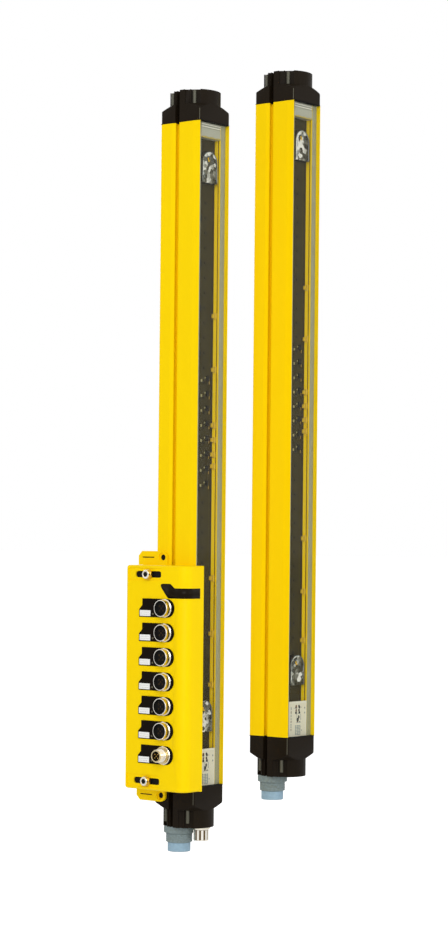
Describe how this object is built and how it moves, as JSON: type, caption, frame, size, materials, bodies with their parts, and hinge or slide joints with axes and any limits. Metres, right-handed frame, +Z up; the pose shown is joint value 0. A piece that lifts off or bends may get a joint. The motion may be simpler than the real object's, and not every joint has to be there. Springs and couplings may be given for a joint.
{
  "type": "safety light curtain",
  "caption": "Upright sender and receiver light bars with clear front screens, beam optics, black end caps and plugs; the receiver carries a connection box on its side.",
  "frame": {"origin": "middle of the lower hub face of the receiver bar", "axes": "+Z up along both bars; the clear front screens face -Y; the sender stands on the +X side and the connection box on the receiver's -X side"},
  "size_m": [0.2513, 0.0907, 0.8771],
  "materials": {
    "bar_yellow": "smooth powder coat, satin",
    "cap_black": "moulded, fine grain",
    "seal_black": "smooth",
    "clear_screen": "clear acrylic, polished",
    "strip_grey": "satin",
    "board_olive": "solder mask",
    "lens_clear": "clear acrylic, polished",
    "holder_black": "matte",
    "block_grey": "satin",
    "plate_beige": "printed film, satin",
    "display_dark": "smoked, gloss",
    "plug_grey": "moulded, satin",
    "pin_gold": "gold plated",
    "screw_steel": "zinc plated",
    "port_nickel": "nickel plated",
    "insert_black": "moulded",
    "box_yellow": "moulded, satin gloss",
    "bezel_black": "fine grain",
    "window_black": "smoked, gloss",
    "socket_metal": "nickel plated brass",
    "label_white": "blank",
    "light_grey": "small indicator lens",
    "fixing_brass": "plated"
  },
  "bodies": {
    "root": {"box_back_shell": "box_yellow", "box_circuit_board": "board_olive", "box_fixing_screws": "fixing_brass", "box_front_shell": "box_yellow", "box_light_window": "window_black", "connector_pins": "pin_gold", "pin_connector_insert": "insert_black", "pin_connector_shell": "socket_metal", "port_bezel_1": "bezel_black", "port_bezel_2": "bezel_black", "port_bezel_3": "bezel_black", "port_bezel_4": "bezel_black", "port_bezel_5": "bezel_black", "port_bezel_6": "bezel_black", "port_bezel_7": "bezel_black", "port_labels": "label_white", "port_lights": "light_grey", "receiver_bottom_cap": "cap_black", "receiver_bottom_seal": "seal_black", "receiver_cap_screws": "screw_steel", "receiver_circuit_board": "board_olive", "receiver_display_module": "display_dark", "receiver_extension_insert": "insert_black", "receiver_extension_port": "port_nickel", "receiver_front_screen": "clear_screen", "receiver_indicator_plate": "plate_beige", "receiver_lower_lens": "lens_clear", "receiver_lower_lens_holder": "holder_black", "receiver_plug_pins": "pin_gold", "receiver_profile": "bar_yellow", "receiver_screen_strips": "strip_grey", "receiver_system_plug": "plug_grey", "receiver_top_block": "block_grey", "receiver_top_cap": "cap_black", "receiver_top_seal": "seal_black", "receiver_upper_lens": "lens_clear", "receiver_upper_lens_holder": "holder_black", "sender_bottom_cap": "cap_black", "sender_bottom_seal": "seal_black", "sender_cap_screws": "screw_steel", "sender_circuit_board": "board_olive", "sender_display_module": "display_dark", "sender_front_screen": "clear_screen", "sender_indicator_plate": "plate_beige", "sender_lower_lens": "lens_clear", "sender_lower_lens_holder": "holder_black", "sender_plug_pins": "pin_gold", "sender_profile": "bar_yellow", "sender_screen_strips": "strip_grey", "sender_system_plug": "plug_grey", "sender_top_block": "block_grey", "sender_top_cap": "cap_black", "sender_top_seal": "seal_black", "sender_upper_lens": "lens_clear", "sender_upper_lens_holder": "holder_black", "socket_inserts": "insert_black", "socket_shells": "socket_metal"}
  },
  "joints": []
}
